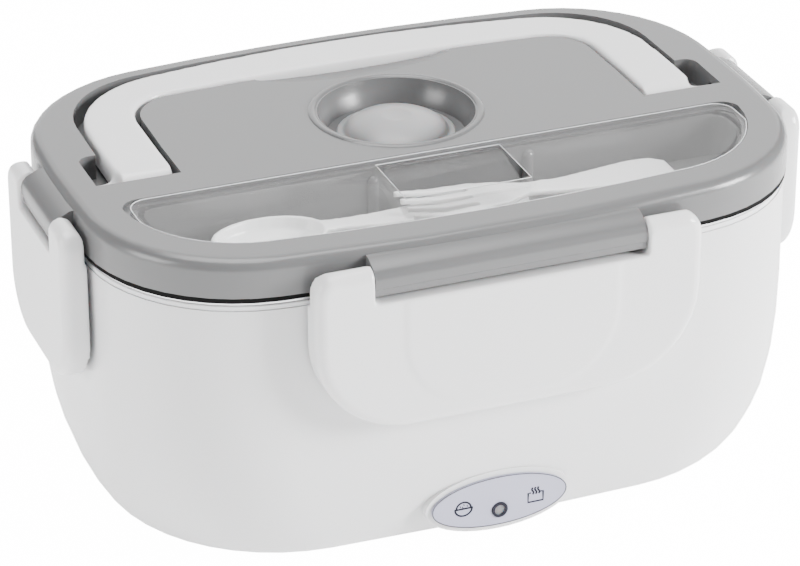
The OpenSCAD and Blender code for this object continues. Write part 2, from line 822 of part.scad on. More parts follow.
module lid_shell() {
    color(GREY) {
        difference() {
            union() {
                difference() {
                    swept(concat([[0, skirt_z]],
                        [for (t = [0 : 22.5 : 90])
                            [lid_edge * (1 - cos(t)), lid_top - lid_edge * (1 - sin(t))]]));
                    prism(LID, lid_wall, skirt_z - beyond, lid_top - lid_t);
                }
                translate([0, 0, pocket_under])
                    linear_extrude(lid_top - lid_t / 2 - pocket_under)
                        groove_outline(pocket_wall);
                pivot_wells(pocket_wall);
                for (sx = [-1, 1])
                    translate([sx * (side_pocket_x + 2) - 3, pivot_y - 5, pocket_under])
                        cube([6, 10, lid_top - lid_t / 2 - pocket_under]);
                bay_prism(bay_low_in - pocket_wall, bay_back + ledge_w - pocket_wall,
                    bay_x - ledge_w + pocket_wall, bay_under, lid_top - lid_t / 2);
                translate([0, well_y, well_under])
                    cylinder(r = well_r + pocket_wall, h = lid_top - lid_t / 2 - well_under, $fn = ROUND);
                translate([0, well_y, 0])
                    rotate_extrude($fn = 96)
                        translate([well_r + bead_r - 0.3, lid_top + bead_h - bead_r])
                            circle(r = bead_r, $fn = 20);
                for (k = [0 : 3])
                    hinge_bar(k);
            }
            translate([0, 0, pocket_floor])
                linear_extrude(lid_top)
                    groove_outline(0);
            pivot_wells(0);
            for (sx = [-1, 1])
                translate([sx * (handle_x + 4) - 6, pivot_y, pivot_z])
                    rotate([0, 90, 0])
                        cylinder(r = pivot_r + fit_gap, h = 12, $fn = ROUND);
            bay_prism(bay_in, bay_back, bay_x, ledge_z, lid_top + beyond);
            bay_prism(bay_low_in, bay_back + ledge_w, bay_x - ledge_w, bay_floor, lid_top);
            translate([0, well_y, 0])
                rotate_extrude($fn = 96)
                    polygon([[0, well_floor], [well_r - 3, well_floor], [well_r - 0.6, lid_top - 2],
                        [well_r, lid_top + 3], [0, lid_top + 3]]);
            translate([0, well_y, well_under - beyond])
                cylinder(r = stem_r + 0.4, h = pocket_wall + 2 * beyond, $fn = ROUND);
            for (k = [0 : 3])
                on_side(k)
                    for (sx = [-1, 1])
                        translate([sx * bar_half(k), -reach(k) - pin_out, pin_z])
                            rotate([0, 90, 0])
                                cylinder(r = pin_r + fit_gap, h = 12, center = true, $fn = ROUND);
        }
        bay_ribs();
        bay_blocks();
    }
}

module lid_liner() {
    color(FROST)
        difference() {
            union() {
                swept([[lid_liner_in + 3.4, lid_liner_under], [lid_liner_in + 0.9, lid_liner_under + 1],
                    [lid_liner_in, lid_liner_under + 3.4], [lid_liner_in, lid_flange_z],
                    [lid_wall + fit_gap, lid_flange_z], [lid_wall + fit_gap, lid_flange_top],
                    [lid_liner_in + liner_wall, lid_flange_top],
                    [lid_liner_in + liner_wall, lid_liner_floor + 0.6],
                    [lid_liner_in + liner_wall + 0.6, lid_liner_floor]]);
                translate([0, well_y, lid_liner_under])
                    cylinder(r = stem_r + 3.4, h = well_under - slide_gap - lid_liner_under, $fn = ROUND);
            }
            translate([0, well_y, lid_liner_under - beyond])
                cylinder(r = stem_r + 0.6, h = lid_h + bay_depth, $fn = ROUND);
        }
}

module lid_gasket() {
    gasket_z = rim_top + touch_gap;
    color(FROST)
        swept([[4.2, gasket_z], [3.4, gasket_z + 0.4], [3.4, lid_flange_z], [6.4, lid_flange_z],
            [6.4, gasket_z + 0.4], [5.6, gasket_z]], closed = true);
}

// Outline of the plug's dome, as [share of its radius, share of its height]
PLUG = [[1, 0], [1, 0.14], [0.9, 0.22], [0.76, 0.39], [0.67, 0.64], [0.6, 0.86], [0.47, 0.985],
    [0.31, 1], [0.15, 0.93], [0, 0.9]];

module vent_plug() {
    z = well_floor + touch_gap;
    color(FROST)
        translate([0, well_y, 0])
            rotate_extrude($fn = 96)
                polygon(concat([[0, z - stem_h], [stem_r, z - stem_h], [stem_r, z]],
                    [for (q = PLUG) [plug_r * q[0], z + plug_h * q[1]]]));
}

// Handle folded flat: a grip with two legs, round ends and pivots in the lid
module carry_handle() {
    color(WHITE) {
        translate([0, 0, handle_under])
            linear_extrude(handle_t)
                difference() {
                    polygon(plan(GRIP, 0));
                    polygon(plan(GRIP_INNER, 0));
                    translate([-lid_length, pivot_y - lid_depth])
                        square([2 * lid_length, lid_depth]);
                }
        for (sx = [-1, 1])
            translate([sx * (handle_x - handle_w / 2 - 0.6), pivot_y, pivot_z])
                rotate([0, 90, 0]) {
                    cylinder(r = handle_end, h = handle_w - 1.2, center = true, $fn = ROUND);
                    translate([0, 0, sx * handle_w / 2])
                        cylinder(r = pivot_r, h = 18, center = true, $fn = ROUND);
                }
    }
}

module cutlery_cover() {
    cover_x = bay_x - 2.4;
    top = ledge_z + cover_t;
    color(CLEAR) {
        difference() {
            union() {
                bay_prism(bay_in + 0.5, bay_back + 0.5, cover_x, ledge_z, top);
                difference() {
                    bay_prism(bay_low_in + 0.4, bay_back + ledge_w + 0.4, cover_x - ledge_w,
                        ledge_z - cover_t, top - cover_t / 2);
                    bay_prism(bay_low_in + 1.6, bay_back + ledge_w + 1.6, cover_x - ledge_w - 1.2,
                        ledge_z - 2 * cover_t, ledge_z);
                }
                along_x(2 * (scoop_x + scoop_wall))
                    polygon([[-scoop_back + 0.2, top - cover_t / 2],
                        [-scoop_back + 0.2, ledge_z - scoop_wall / 2],
                        [-scoop_front - scoop_wall, top - scoop_depth - scoop_wall],
                        [-scoop_front - scoop_wall, top - cover_t / 2]]);
            }
            along_x(2 * scoop_x)
                polygon([[-scoop_back, top + beyond], [-scoop_back, top - 0.6],
                    [-scoop_front, top - scoop_depth], [-scoop_front, top + beyond]]);
        }
    }
}

// Flat strap through stations [x, y, z, half width], t thick
module strap(stations, t) {
    loft([for (q = stations) [[q[0], q[1] - q[3], q[2]], [q[0], q[1] + q[3], q[2]],
        [q[0], q[1] + q[3], q[2] + t], [q[0], q[1] - q[3], q[2] + t]]]);
}

cutlery_y = -36;
cutlery_t = 1.8;
bowl_in = 41.8;
fork_in = 28.8;
grip_rise = 3.6;
bowl_rx = 18.4;
bowl_ry = 12;
bowl_h = 7.4;
bowl_mid = bay_x - bowl_in;
spoon_z = bay_floor + slide_gap;
spoon_rim = spoon_z + bowl_h;
grip_z = bay_floor + grip_rise;
grip_end = 24;
fork_z = grip_z + cutlery_t + slide_gap;
fork_end = bay_x - fork_in;
tine_gap = 5.6;

// Outline of the bowl, as [share of its half width, share of its height]
BOWL = [[0.38, 0], [0.7, 0.13], [0.92, 0.46], [1, 1], [0.92, 1], [0.83, 0.54], [0.63, 0.28], [0.34, 0.17]];

module spoon() {
    color(WHITE) {
        loft([for (q = BOWL)
            [for (p = oval_face(bowl_rx * q[0], bowl_ry * q[0], 24))
                [p[0] - bowl_mid, p[1] + cutlery_y - 2, spoon_z + bowl_h * q[1]]]]);
        strap([
            [bowl_rx * 0.9 - bowl_mid, cutlery_y - 2, spoon_rim - cutlery_t, 3.4],
            [bowl_rx * 1.2 - bowl_mid, cutlery_y - 1, spoon_rim - cutlery_t - 0.6, 3],
            [bowl_rx * 1.6 - bowl_mid, cutlery_y, grip_z + 0.6, 3.6],
            [-grip_end / 2, cutlery_y, grip_z, 5.4],
            [grip_end * 2 / 3, cutlery_y, grip_z, 6.4],
            [grip_end, cutlery_y, grip_z, 3.6]], cutlery_t);
    }
}

module fork() {
    color(WHITE) {
        for (i = [-1.5 : 1 : 1.5])
            strap([
                [-16, cutlery_y + tine_gap * i, fork_z + 1.6, 0.7],
                [-4, cutlery_y + tine_gap * i, fork_z, 1.4],
                [9, cutlery_y + (tine_gap - 0.6) * i, fork_z, 1.7]], cutlery_t);
        strap([
            [7, cutlery_y, fork_z, 9.2],
            [16, cutlery_y, fork_z, 7.2],
            [grip_end, cutlery_y, fork_z, 3.6],
            [fork_end - 35, cutlery_y, fork_z - 1, 4.6],
            [fork_end - 11, cutlery_y, fork_z - 1, 8],
            [fork_end - 4, cutlery_y, fork_z - 1, 7.4],
            [fork_end, cutlery_y, fork_z - 1, 4]], cutlery_t);
    }
}

// Face of a latch in [x, z], inset by d
function latch_face(half, low_r, d) = concat(
    full_arc([half - low_r, latch_z + low_r], low_r - d, 270, 360, 8),
    full_arc([half - 6.5, latch_top - 6.5], 6.5 - d, 0, 90, 4),
    full_arc([6.5 - half, latch_top - 6.5], 6.5 - d, 90, 180, 4),
    full_arc([low_r - half, latch_z + low_r], low_r - d, 180, 270, 8));

// Latch blank: the face with a rounded outer edge, from the plane y = -out back to y = back
module latch_blank(half, low_r, out, back) {
    loft([for (q = concat([[back, 0]],
            [for (t = [90 : -22.5 : 0]) [latch_edge * (1 - cos(t)) - out, latch_edge * (1 - sin(t))]]))
        [for (p = latch_face(half, low_r, q[1])) [p[0], q[0], p[1]]]]);
}

module latch(k, half, low_r) {
    out = reach(k) + latch_out;
    pin_y = -reach(k) - pin_out;
    opening = bar_half(k) + 0.45;
    difference() {
        on_side(k)
            difference() {
                intersection() {
                    latch_blank(half, low_r, out, 8 - reach(k));
                    along_x(2 * half)
                        polygon(concat(
                            [[8 - reach(k), latch_z - beyond], [8 - reach(k), notch_z - 2],
                                [ear_r + pin_y, notch_z]],
                            full_arc([pin_y, pin_z], ear_r, 0, 180, 12),
                            [[-out, latch_z - beyond]]));
                }
                translate([-opening, -out - beyond, notch_z])
                    cube([2 * opening, 2 * latch_out + 10, latch_h]);
                intersection() {
                    along_y(latch_wall - out, 10 - reach(k))
                        polygon(latch_face(half, low_r, latch_wall));
                    translate([-half, -2 * lid_length, 0])
                        cube([2 * half, 4 * lid_length, notch_z - latch_wall]);
                }
            }
        prism(LID, -0.9, latch_z - 2 * beyond, lid_top + beyond);
    }
    on_side(k) {
        for (sx = [-1, 1])
            translate([sx * (opening - 0.6), pin_y, pin_z])
                rotate([0, 90, 0])
                    cylinder(r = pin_r, h = 8, center = true, $fn = ROUND);
        translate([-bar_half(k) / 2 - 2, -out + latch_wall - 0.4, catch_z])
            cube([bar_half(k) + 4, latch_out - latch_wall - 0.9 + 0.4, catch_t]);
        if (k % 2 == 0)
            pressing_panel(out);
    }
}

// Raised pressing panel of a long latch, from the bar's notch down to round lower corners
module pressing_panel(out) {
    along_y(-out - panel_step, latch_wall / 2 - out)
        polygon(concat(
            [[panel_x, notch_z], [-panel_x, notch_z]],
            full_arc([panel_r - panel_x, panel_z + panel_r], panel_r, 180, 270, 8),
            full_arc([panel_x - panel_r, panel_z + panel_r], panel_r, 270, 360, 8)));
}

module front_latch() {
    color(WHITE)
        latch(0, long_latch, 30);
}

module right_latch() {
    color(WHITE)
        latch(1, short_latch, 18);
}

module back_latch() {
    color(WHITE)
        latch(2, long_latch, 30);
}

module left_latch() {
    color(WHITE)
        latch(3, short_latch, 18);
}

outer_housing();
base_cover();
rubber_feet();
base_screws();
inner_liner();
heating_plate();
heater_block();
heater_clamp();
clamp_screws();
thermal_cutout();
wiring();
indicator_plate();
indicator_bezel();
indicator_lens();
indicator_board();
inlet_socket();
inlet_pins();
steel_tray();
side_cup();
lid_shell();
lid_liner();
lid_gasket();
vent_plug();
carry_handle();
cutlery_cover();
spoon();
fork();
front_latch();
right_latch();
back_latch();
left_latch();
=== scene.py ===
"""Heated lunch box: the finished pieces, their materials and the photo stage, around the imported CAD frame."""
import math

import bmesh
import bpy
from bpy.props import FloatProperty, FloatVectorProperty, PointerProperty
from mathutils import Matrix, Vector


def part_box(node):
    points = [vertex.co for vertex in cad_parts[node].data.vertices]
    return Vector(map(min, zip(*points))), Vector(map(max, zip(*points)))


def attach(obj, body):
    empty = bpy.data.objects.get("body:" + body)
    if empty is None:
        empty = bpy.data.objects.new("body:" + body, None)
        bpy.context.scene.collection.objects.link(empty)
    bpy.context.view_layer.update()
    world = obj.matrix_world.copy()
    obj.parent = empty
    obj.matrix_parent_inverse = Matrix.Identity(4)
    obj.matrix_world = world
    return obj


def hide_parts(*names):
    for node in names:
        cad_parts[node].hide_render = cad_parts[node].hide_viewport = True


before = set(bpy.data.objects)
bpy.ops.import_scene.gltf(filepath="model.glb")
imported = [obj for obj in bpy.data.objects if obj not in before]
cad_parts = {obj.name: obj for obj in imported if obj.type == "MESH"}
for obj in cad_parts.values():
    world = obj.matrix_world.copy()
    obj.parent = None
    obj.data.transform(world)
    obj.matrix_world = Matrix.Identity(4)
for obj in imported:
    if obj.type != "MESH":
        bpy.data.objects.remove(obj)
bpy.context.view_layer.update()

bl_info = {
    "name": "Heated lunch box",
    "version": (1, 0, 0),
    "blender": (4, 5, 0),
    "location": "View3D > Sidebar > Lunch box",
    "description": "Dresses the packed lunch box with finished pieces and materials",
    "category": "Object",
}

MM = 0.001

# Brightness that floor and world show to the camera alone, and its share in what the camera sees
SEEN_WHITE = 20.0
SEEN_SHARE = 0.75

# Slope of the flat that keeps the back latch's ears behind the lid's edge
EAR_SLOPE = math.radians(27)

# Points nearer than this are one point, and faces flatter than this are one face
WELD = 0.002 * MM
FLAT = math.radians(0.6)

# The clear cover's edges that are sharper than this get a painted highlight: an opaque light grey rod that
# draws a bright line
SHARP = math.radians(50)

INK_THICKNESS = 0.06 * MM


# Sizes and colours that a user would change
class LunchBoxSizes(bpy.types.PropertyGroup):
    soft_edge: FloatProperty(name="Soft edge", description="Radius of the moulded edges",
                             default=0.6 * MM, unit="LENGTH")
    # The seal's lip reach and drop widen the near-black seal so that its face shows as a painted shadow band
    # under the lid
    seal_shadow_lip: FloatProperty(name="Seal lip", description="Reach of the lid's seal beyond the CAD ring",
                            default=2.9 * MM, unit="LENGTH")
    seal_shadow_drop: FloatProperty(name="Seal drop", description="How far the seal's lip hangs over the tray's rim",
                             default=0.8 * MM, unit="LENGTH")
    stem_radius: FloatProperty(name="Stem radius", description="Radius of the vent plug's stem",
                               default=5.0 * MM, unit="LENGTH")
    handle_inset: FloatProperty(name="Handle inset", description="How far the handle's sides stand in",
                                default=0.7 * MM, unit="LENGTH")
    finger_dip: FloatProperty(name="Finger dip", description="Depth of the dip in front of the grip",
                              default=2.2 * MM, unit="LENGTH")
    back_ear_flat: FloatProperty(name="Back ear flat", description="Depth of the back latch's ear flats",
                                 default=1.7 * MM, unit="LENGTH")
    ink_line: FloatProperty(name="Ink line", description="Width of the printed lines on the plate",
                            default=0.6 * MM, unit="LENGTH")


class LunchBoxColours(bpy.types.PropertyGroup):
    white: FloatVectorProperty(name="White", description="White moulded plastic", subtype="COLOR",
                               default=(0.68, 0.68, 0.685))
    grey: FloatVectorProperty(name="Lid grey", description="Grey of the lid", subtype="COLOR",
                              default=(0.115, 0.115, 0.117))
    frosted: FloatVectorProperty(name="Frosted", description="Frosted silicone of the vent plug",
                                 subtype="COLOR", default=(0.26, 0.26, 0.265))
    plate: FloatVectorProperty(name="Indicator plate", description="Lavender grey of the oval plate",
                               subtype="COLOR", default=(0.36, 0.36, 0.46))
    ink: FloatVectorProperty(name="Ink", description="Ink of the pictograms", subtype="COLOR",
                             default=(0.004, 0.004, 0.012))


def sizes():
    """The sizes in use."""
    return bpy.context.scene.lunch_box_sizes


def colours():
    """The colours in use."""
    return bpy.context.scene.lunch_box_colours


# Shader maths as Python expressions
class Socket:
    """A node's output that takes part in arithmetic."""

    def __init__(self, shader, out):
        self.shader = shader
        self.out = out

    def _math(self, operation, first, second):
        return self.shader.node("ShaderNodeMath", {"operation": operation}, {0: first, 1: second})

    def __add__(self, other):
        return self._math("ADD", self, other)

    def __radd__(self, other):
        return self._math("ADD", other, self)

    def __sub__(self, other):
        return self._math("SUBTRACT", self, other)

    def __rsub__(self, other):
        return self._math("SUBTRACT", other, self)

    def __mul__(self, other):
        return self._math("MULTIPLY", self, other)

    def __rmul__(self, other):
        return self._math("MULTIPLY", other, self)

    def __pow__(self, other):
        return self._math("POWER", self, other)

    def clamp(self):
        """The value held between 0 and 1."""
        return self.shader.node("ShaderNodeClamp", {}, {0: self})


class Shader:
    """One material and its nodes."""

    def __init__(self, name):
        self.material = bpy.data.materials.new(name)
        self.material.use_nodes = True
        self.tree = self.material.node_tree
        self.tree.nodes.clear()
        self.place = self.node("ShaderNodeTexCoord", {}, {}, out="Object")

    def node(self, kind, settings, inputs, out=0):
        """Adds a node, sets its settings, feeds its sockets and returns one of its outputs."""
        made = self.tree.nodes.new(kind)
        for key, value in settings.items():
            setattr(made, key, value)
        for key, value in inputs.items():
            if isinstance(value, Socket):
                self.tree.links.new(value.out, made.inputs[key])
            else:
                made.inputs[key].default_value = value
        return Socket(self, made.outputs[out])

    def noise(self, scale, detail=3.0, roughness=0.5, place=None):
        """Fractal noise over the piece."""
        return self.node("ShaderNodeTexNoise", {}, {
            "Vector": place or self.place, "Scale": scale, "Detail": detail, "Roughness": roughness})

    def stretched(self, scale):
        """The object's coordinates stretched along its axes."""
        return self.node("ShaderNodeMapping", {}, {"Vector": self.place, "Scale": scale})

    def mix(self, amount, first, second):
        """Colour between first and second."""
        made = self.tree.nodes.new("ShaderNodeMix")
        made.data_type = "RGBA"
        for socket, value in ((made.inputs[0], amount), (made.inputs[6], first), (made.inputs[7], second)):
            if isinstance(value, Socket):
                self.tree.links.new(value.out, socket)
            elif isinstance(value, (int, float)):
                socket.default_value = value
            else:
                socket.default_value = (*value[:3], 1.0)
        return Socket(self, made.outputs[2])

    def bump(self, height, strength, distance):
        """A normal from a height."""
        return self.node("ShaderNodeBump", {}, {"Strength": strength, "Distance": distance, "Height": height})

    def surface(self, inputs):
        """The main shader."""
        return self.node("ShaderNodeBsdfPrincipled", {}, inputs)

    def finish(self, shader):
        """Connects the shader to the output and returns the material."""
        output = self.tree.nodes.new("ShaderNodeOutputMaterial")
        self.tree.links.new(shader.out, output.inputs["Surface"])
        return self.material


def opaque(colour):
    """A colour with full alpha."""
    return (*colour, 1.0)


def moulded_plastic(name, colour, roughness=0.24, tone=0.03, grain=0.012):
    """Moulded glossy plastic with slow changes of tone, faint flow marks and a fine skin."""
    s = Shader(name)
    cloud = s.noise(14, 2)
    flow = s.noise(30, 3, place=s.stretched((1, 1, 5)))
    skin = s.noise(900, 2)
    dark = [c * (1 - 2 * tone) for c in colour]
    base = s.mix(cloud, opaque(dark), opaque(colour))
    rough = roughness + 0.05 * (flow - 0.5) + 0.03 * (cloud - 0.5)
    normal = s.bump(skin, grain, 0.0003)
    return s.finish(s.surface({
        "Base Color": base, "Roughness": rough, "Normal": normal, "IOR": 1.5,
        "Subsurface Weight": 0.05, "Subsurface Scale": 0.004}))


def brushed_metal(name, colour, roughness=0.28, along=(1, 60, 60), depth=0.08):
    """Metal with fine lines drawn along one axis."""
    s = Shader(name)
    lines = s.noise(60, 4, 0.6, place=s.stretched(along))
    cloud = s.noise(25, 2)
    base = s.mix(lines, opaque([c * 0.86 for c in colour]), opaque(colour))
    rough = roughness + 0.16 * (lines - 0.5) + 0.06 * (cloud - 0.5)
    return s.finish(s.surface({
        "Base Color": base, "Roughness": rough, "Metallic": 1.0, "Normal": s.bump(lines, depth, 0.0002)}))


def dull_rubber(name, colour, roughness=0.62, shine=0.5):
    """Dull rubber or dark moulding with a fine grain."""
    s = Shader(name)
    grain = s.noise(1400, 2)
    cloud = s.noise(40, 2)
    base = s.mix(cloud, opaque([c * 0.8 for c in colour]), opaque(colour))
    return s.finish(s.surface({
        "Base Color": base, "Roughness": roughness + 0.1 * (grain - 0.5),
        "Normal": s.bump(grain, 0.12, 0.0002), "Specular IOR Level": shine}))


def frosted_rubber(name, colour):
    """Milky silicone that lets some light in."""
    s = Shader(name)
    cloud = s.noise(60, 3)
    skin = s.noise(1200, 2)
    base = s.mix(cloud, opaque([c * 0.93 for c in colour]), opaque(colour))
    return s.finish(s.surface({
        "Base Color": base, "Roughness": 0.36 + 0.08 * (cloud - 0.5),
        "Normal": s.bump(skin, 0.05, 0.0002), "Subsurface Weight": 0.35, "Subsurface Scale": 0.006}))


def clear_sheet(name):
    """Clear thin plastic: mostly see-through, with gloss that grows at a glance and faint scuffs."""
    s = Shader(name)
    scuffs = s.noise(50, 2, place=s.stretched((1, 3, 1)))
    glance = s.node("ShaderNodeLayerWeight", {}, {"Blend": 0.5}, out="Facing")
    gloss = s.surface({"Base Color": (1, 1, 1, 1), "Roughness": 0.04 + 0.05 * scuffs, "Metallic": 1.0,
                       "Normal": s.bump(scuffs, 0.004, 0.0002)})
    clear = s.node("ShaderNodeBsdfTransparent", {}, {"Color": (0.99, 0.99, 0.99, 1)})
    amount = (0.02 + 0.4 * glance ** 5 + 0.02 * scuffs).clamp()
    return s.finish(s.node("ShaderNodeMixShader", {}, {0: amount, 1: clear, 2: gloss}))


def print_ink(name, colour):
    """Printed ink with slightly uneven cover."""
    s = Shader(name)
    cover = s.noise(900, 2)
    base = s.mix(cover, opaque(colour), opaque([c + 0.01 for c in colour]))
    return s.finish(s.surface({
        "Base Color": base, "Roughness": 0.5 + 0.1 * (cover - 0.5), "Specular IOR Level": 0.2}))


MATERIALS = {}


def material(name):
    """A finish by name, made on its first use."""
    c = colours()
    recipes = {
        "white": lambda: moulded_plastic("white_plastic", c.white, 0.2),
        "grey": lambda: moulded_plastic("grey_plastic", c.grey, 0.26),
        "liner": lambda: moulded_plastic("liner_plastic", [0.74, 0.74, 0.75], 0.36),
        "cutlery": lambda: moulded_plastic("cutlery_plastic", [0.86, 0.86, 0.86], 0.22),
        "frosted": lambda: frosted_rubber("frosted_rubber", c.frosted),
        "plate": lambda: moulded_plastic("indicator_plate_plastic", c.plate, 0.3),
        "dark": lambda: dull_rubber("dark_plastic", [0.025, 0.025, 0.03], 0.45),
        "rubber": lambda: dull_rubber("foot_rubber", [0.035, 0.035, 0.037]),
        # A real seal, made near-black and dull so that it paints the shadow in the gap under the lid
        "seal": lambda: dull_rubber("seal_rubber", [0.005, 0.005, 0.005], 0.8, 0.08),
        "lead": lambda: dull_rubber("lead_rubber", [0.02, 0.02, 0.022], 0.5),
        "steel": lambda: brushed_metal("tray_steel", [0.72, 0.72, 0.73], 0.2),
        "screw": lambda: brushed_metal("screw_steel", [0.62, 0.62, 0.64], 0.32, (30, 30, 1)),
        "aluminium": lambda: brushed_metal("plate_aluminium", [0.66, 0.67, 0.68], 0.38),
        "brass": lambda: brushed_metal("pin_brass", [0.78, 0.6, 0.3], 0.3, (30, 1, 30)),
        "board": lambda: moulded_plastic("board_lacquer", [0.03, 0.17, 0.08], 0.3),
        "lens": lambda: frosted_rubber("lens_plastic", [0.16, 0.16, 0.17]),
        "bezel": lambda: dull_rubber("bezel_plastic", [0.006, 0.006, 0.008], 0.5, 0.15),
        "clear": lambda: clear_sheet("clear_plastic"),
        # Light grey plastic for the rods that paint highlight lines along the clear cover's edges
        "painted_edge_highlight": lambda: moulded_plastic("painted_edge_highlight_plastic", [0.62, 0.63, 0.64], 0.2),
        "ink": lambda: print_ink("mark_ink", c.ink),
        "rim_ink": lambda: print_ink("rim_ink", [0.05, 0.05, 0.06]),
    }
    if name not in MATERIALS:
        MATERIALS[name] = recipes[name]()
    return MATERIALS[name]


# Selecting, editing and finishing
def deselect():
    """Leaves nothing selected."""
    for other in bpy.context.selected_objects:
        other.select_set(False)


def lone(piece):
    """Leaves only this piece selected and active."""
    deselect()
    bpy.context.view_layer.objects.active = piece
    piece.select_set(True)


def start_edit(piece, mode="FACE"):
    """Opens a piece in edit mode with nothing selected."""
    lone(piece)
    bpy.ops.object.mode_set(mode="EDIT")
    bpy.ops.mesh.select_mode(type=mode)
    bpy.ops.mesh.select_all(action="DESELECT")


def end_edit():
    """Back to object mode."""
    bpy.ops.object.mode_set(mode="OBJECT")


def modify(piece, kind, **settings):
    """Adds a modifier and applies it."""
    lone(piece)
    made = piece.modifiers.new(kind.title(), kind)
    for key, value in settings.items():
        setattr(made, key, value)
    bpy.ops.object.modifier_apply(modifier=made.name)


def smooth(piece, angle=35):
    """Smooth shading that keeps the sharp edges."""
    lone(piece)
    bpy.ops.object.shade_smooth_by_angle(angle=math.radians(angle))


def place_on(piece, body, finish, slot, *nodes):
    """Gives a piece its finish, its body and the CAD nodes it stands for."""
    piece.data.materials.clear()
    piece.data.materials.append(material(finish))
    for face in piece.data.polygons:
        face.material_index = 0
    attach(piece, body)
    if nodes:
        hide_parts(*nodes)
    return piece


def merged_copy(node, name):
    """A copy of a CAD node as one welded mesh with whole faces."""
    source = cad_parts[node]
    piece = bpy.data.objects.new(name, source.data.copy())
    bpy.context.scene.collection.objects.link(piece)
    start_edit(piece, "VERT")
    bpy.ops.mesh.select_all(action="SELECT")
    bpy.ops.mesh.remove_doubles(threshold=WELD)
    bpy.ops.mesh.dissolve_limited(angle_limit=FLAT)
    end_edit()
    return piece


def round_edges(piece, width, segments=3, angle=40, smooth_angle=35):
    """Rounds a piece's sharp edges and returns it."""
    modify(piece, "BEVEL", width=width, segments=segments, limit_method="ANGLE",
           angle_limit=math.radians(angle), use_clamp_overlap=True, miter_outer="MITER_ARC",
           harden_normals=False)
    start_edit(piece, "VERT")
    bpy.ops.mesh.select_all(action="SELECT")
    bpy.ops.mesh.remove_doubles(threshold=WELD)
    bpy.ops.mesh.dissolve_degenerate(threshold=WELD / 2)
    end_edit()
    smooth(piece, smooth_angle)
    modify(piece, "WEIGHTED_NORMAL", keep_sharp=True, weight=100)
    return piece


def softened(node, name, width, segments=3):
    """A merged copy of a CAD node with its sharp edges rounded."""
    return round_edges(merged_copy(node, name), width, segments)


def melted(piece, grain, rounds, inset=0.0):
    """Casts a solid anew in small squares, rounds its edges deeply, stands its sides in and returns it."""
    modify(piece, "REMESH", mode="VOXEL", voxel_size=grain)
    modify(piece, "SMOOTH", factor=0.5, iterations=rounds)
    start_edit(piece, "VERT")
    mesh = bmesh.from_edit_mesh(piece.data)
    for vertex in mesh.verts:
        vertex.co.x -= vertex.normal.x * inset
        vertex.co.y -= vertex.normal.y * inset
    bmesh.update_edit_mesh(piece.data)
    end_edit()
    lone(piece)
    bpy.ops.object.shade_smooth()
    return piece


def upright_round(name, centre, radius, foot, top):
    """An upright cylinder between two heights."""
    deselect()
    bpy.ops.mesh.primitive_cylinder_add(vertices=96, radius=radius, depth=top - foot,
                                        location=(centre[0], centre[1], (foot + top) / 2))
    bpy.ops.object.transform_apply(location=True, rotation=True, scale=True)
    bpy.context.object.name = name
    return bpy.context.object


def oval_body(name, centre, reach):
    """An egg-shaped body, given by its centre and its reach along X, Y and Z."""
    deselect()
    bpy.ops.mesh.primitive_uv_sphere_add(segments=96, ring_count=48, radius=1, location=(0, 0, 0))
    piece = bpy.context.object
    piece.name = name
    start_edit(piece, "VERT")
    bpy.ops.mesh.select_all(action="SELECT")
    bpy.ops.transform.resize(value=reach)
    bpy.ops.transform.translate(value=centre)
    end_edit()
    return piece


def shaved(piece, direction, depth):
    """Presses what reaches out furthest along a direction down to a flat and returns the piece."""
    start_edit(piece, "VERT")
    mesh = bmesh.from_edit_mesh(piece.data)
    flat = max(vertex.co.dot(direction) for vertex in mesh.verts) - depth
    for vertex in mesh.verts:
        vertex.co -= max(vertex.co.dot(direction) - flat, 0) * direction
    bmesh.update_edit_mesh(piece.data)
    end_edit()
    return piece


def combine(piece, operation, other):
    """Joins another solid to a piece, or cuts it out, and deletes the other."""
    modify(piece, "BOOLEAN", operation=operation, solver="EXACT", object=other)
    lone(other)
    bpy.ops.object.delete()


def edge_lines(node, name, lowest, radius):
    """Thin rods along a CAD node's sharp edges above a height, used as painted highlight lines."""
    piece = merged_copy(node, name)
    start_edit(piece, "EDGE")
    mesh = bmesh.from_edit_mesh(piece.data)
    blunt = [edge for edge in mesh.edges if edge.calc_face_angle(0) < SHARP
             or min(vertex.co.z for vertex in edge.verts) < lowest]
    bmesh.ops.delete(mesh, geom=mesh.faces[:], context="FACES_ONLY")
    bmesh.ops.delete(mesh, geom=blunt, context="EDGES")
    bmesh.update_edit_mesh(piece.data)
    end_edit()
    lone(piece)
    bpy.ops.object.convert(target="CURVE")
    piece = bpy.context.object
    piece.data.bevel_depth = radius
    piece.data.bevel_resolution = 2
    bpy.ops.object.convert(target="MESH")
    piece = bpy.context.object
    smooth(piece, 60)
    return piece


def dress(node, finish):
    """Gives a CAD node its finish."""
    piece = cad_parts[node]
    piece.data.materials.clear()
    piece.data.materials.append(material(finish))


# Printed marks of the plate, each a thin line of ink along points in X and Z
def oval_path(x, z, reach_x, reach_z, start, end, steps):
    """Points of an oval arc from one angle to another, in degrees."""
    angles = [math.radians(start + (end - start) * i / steps) for i in range(steps + 1)]
    return [(x + reach_x * math.cos(a), z + reach_z * math.sin(a)) for a in angles]


def ink_stroke(name, path, width, front):
    """A ribbon of ink that stands a hair proud of the plate's face."""
    steps = len(path) - 1
    deselect()
    bpy.ops.mesh.primitive_grid_add(x_subdivisions=steps, y_subdivisions=1, size=1, location=(0, 0, 0))
    piece = bpy.context.object
    piece.name = name
    start_edit(piece, "VERT")
    mesh = bmesh.from_edit_mesh(piece.data)
    for vertex in mesh.verts:
        step = round((vertex.co.x + 0.5) * steps)
        side = width / 2 if vertex.co.y > 0 else -width / 2
        before, after = path[max(step - 1, 0)], path[min(step + 1, steps)]
        along = Vector((after[0] - before[0], after[1] - before[1])).normalized()
        vertex.co = (path[step][0] - along.y * side, front, path[step][1] + along.x * side)
    bmesh.update_edit_mesh(piece.data)
    end_edit()
    modify(piece, "SOLIDIFY", thickness=INK_THICKNESS, offset=1)
    return piece


